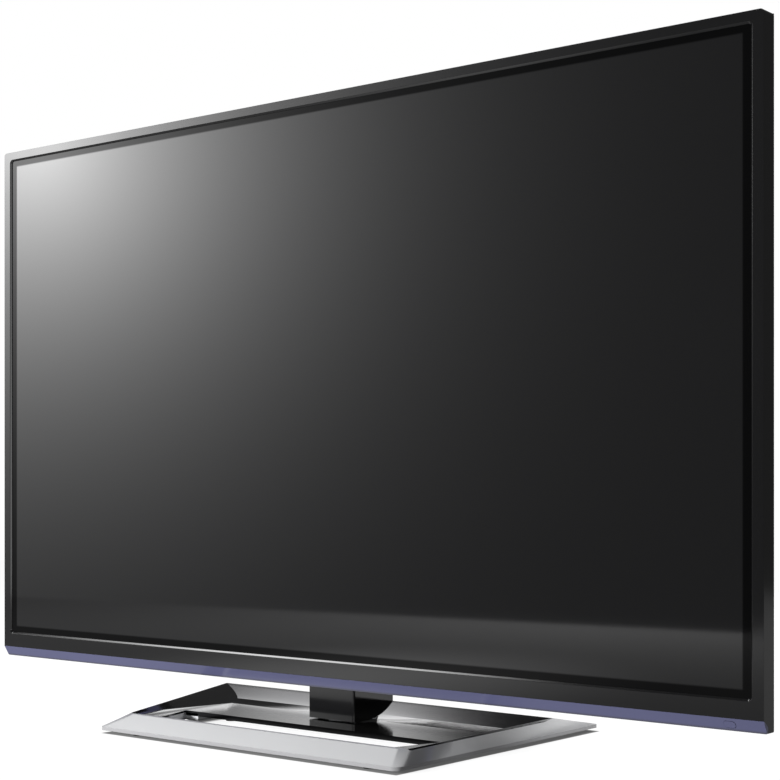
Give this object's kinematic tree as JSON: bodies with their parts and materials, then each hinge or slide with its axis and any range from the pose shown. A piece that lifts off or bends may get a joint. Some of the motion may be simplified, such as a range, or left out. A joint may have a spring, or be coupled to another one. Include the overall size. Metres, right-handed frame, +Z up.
{
  "type": "flat screen tv",
  "caption": "Wide flat screen television with a black glass front and violet lower trim, on a swivelling neck and a silver frame base with a black tray.",
  "frame": {"origin": "on the table surface, under the swivel axis", "axes": "+X to the right as seen from in front of the screen, +Y to the back, +Z up"},
  "size_m": [1.3884, 0.458, 0.8967],
  "materials": {
    "piano_black": "high gloss piano black",
    "violet_trim": "translucent violet blue with a gloss face",
    "screen_glass": "tinted filter glass, nearly black when off",
    "panel_glass": "dark, unlit",
    "chassis_metal": "plain sheet",
    "plated_steel": "zinc plated",
    "circuit_board": "green solder mask",
    "cable_film": "amber film",
    "satin_black": "satin black",
    "cover_black": "fine textured black paint",
    "dark_screws": "black oxide",
    "white_plastic": "low friction plastic",
    "silver_base": "silver metallic, smooth",
    "black_rubber": "matt"
  },
  "bodies": {
    "base": {"base_frame": "silver_base", "base_tray": "piano_black", "base_plate": "plated_steel", "base_screws": "plated_steel", "rubber_feet": "black_rubber", "pivot_pin": "plated_steel", "retaining_nut": "plated_steel", "stop_pin": "plated_steel", "bearing_ring": "white_plastic"},
    "head": {"front_cabinet": "piano_black", "lower_trim_strip": "violet_trim", "filter_glass": "screen_glass", "glass_gasket": "black_rubber", "panel_front_glass": "panel_glass", "panel_rear_glass": "panel_glass", "thermal_sheet": "black_rubber", "chassis_plate": "chassis_metal", "panel_clamps": "chassis_metal", "chassis_rails": "chassis_metal", "wall_mount_bosses": "plated_steel", "y_sustain_board": "circuit_board", "z_sustain_board": "circuit_board", "power_supply_board": "circuit_board", "control_board": "circuit_board", "main_board": "circuit_board", "scan_driver_boards": "circuit_board", "buffer_boards": "circuit_board", "board_standoffs": "plated_steel", "heatsinks": "chassis_metal", "flex_cables": "cable_film", "speaker_left": "satin_black", "speaker_right": "satin_black", "rear_cover": "cover_black", "cover_posts": "plated_steel", "rear_cover_screws": "dark_screws", "ir_sensor_board": "circuit_board", "key_board": "circuit_board", "hdmi_sockets": "plated_steel", "usb_sockets": "plated_steel", "lan_socket": "satin_black", "antenna_socket": "plated_steel", "av_jacks": "satin_black", "connector_panel": "satin_black", "ac_inlet": "satin_black", "stand_bracket": "plated_steel", "stand_screws": "dark_screws", "neck_core": "plated_steel", "swivel_disc": "plated_steel", "neck_sleeve": "piano_black", "neck_housing": "piano_black"},
    "power_button": {"power_button": "violet_trim"},
    "key_enter": {"key_enter": "satin_black"},
    "key_menu": {"key_menu": "satin_black"},
    "key_input": {"key_input": "satin_black"},
    "key_volume_down": {"key_volume_down": "satin_black"},
    "key_volume_up": {"key_volume_up": "satin_black"},
    "key_channel_down": {"key_channel_down": "satin_black"},
    "key_channel_up": {"key_channel_up": "satin_black"}
  },
  "joints": [
    {"name": "head_swivel", "type": "hinge", "parent": "base", "child": "head", "pos_m": [0, 0, 0.0105], "axis": [0, 0, 1], "range_deg": [-20, 20]},
    {"name": "power_button_press", "type": "slide", "parent": "head", "child": "power_button", "axis": [0, 1, 0], "range_m": [0, 0.0008], "stiffness_N_per_m": 1500, "springref_m": -0.0003},
    {"name": "key_enter_press", "type": "slide", "parent": "head", "child": "key_enter", "axis": [-1, 0, 0], "range_m": [0, 0.0008], "stiffness_N_per_m": 1500, "springref_m": -0.0003},
    {"name": "key_menu_press", "type": "slide", "parent": "head", "child": "key_menu", "axis": [-1, 0, 0], "range_m": [0, 0.0008], "stiffness_N_per_m": 1500, "springref_m": -0.0003},
    {"name": "key_input_press", "type": "slide", "parent": "head", "child": "key_input", "axis": [-1, 0, 0], "range_m": [0, 0.0008], "stiffness_N_per_m": 1500, "springref_m": -0.0003},
    {"name": "key_volume_down_press", "type": "slide", "parent": "head", "child": "key_volume_down", "axis": [-1, 0, 0], "range_m": [0, 0.0008], "stiffness_N_per_m": 1500, "springref_m": -0.0003},
    {"name": "key_volume_up_press", "type": "slide", "parent": "head", "child": "key_volume_up", "axis": [-1, 0, 0], "range_m": [0, 0.0008], "stiffness_N_per_m": 1500, "springref_m": -0.0003},
    {"name": "key_channel_down_press", "type": "slide", "parent": "head", "child": "key_channel_down", "axis": [-1, 0, 0], "range_m": [0, 0.0008], "stiffness_N_per_m": 1500, "springref_m": -0.0003},
    {"name": "key_channel_up_press", "type": "slide", "parent": "head", "child": "key_channel_up", "axis": [-1, 0, 0], "range_m": [0, 0.0008], "stiffness_N_per_m": 1500, "springref_m": -0.0003}
  ]
}
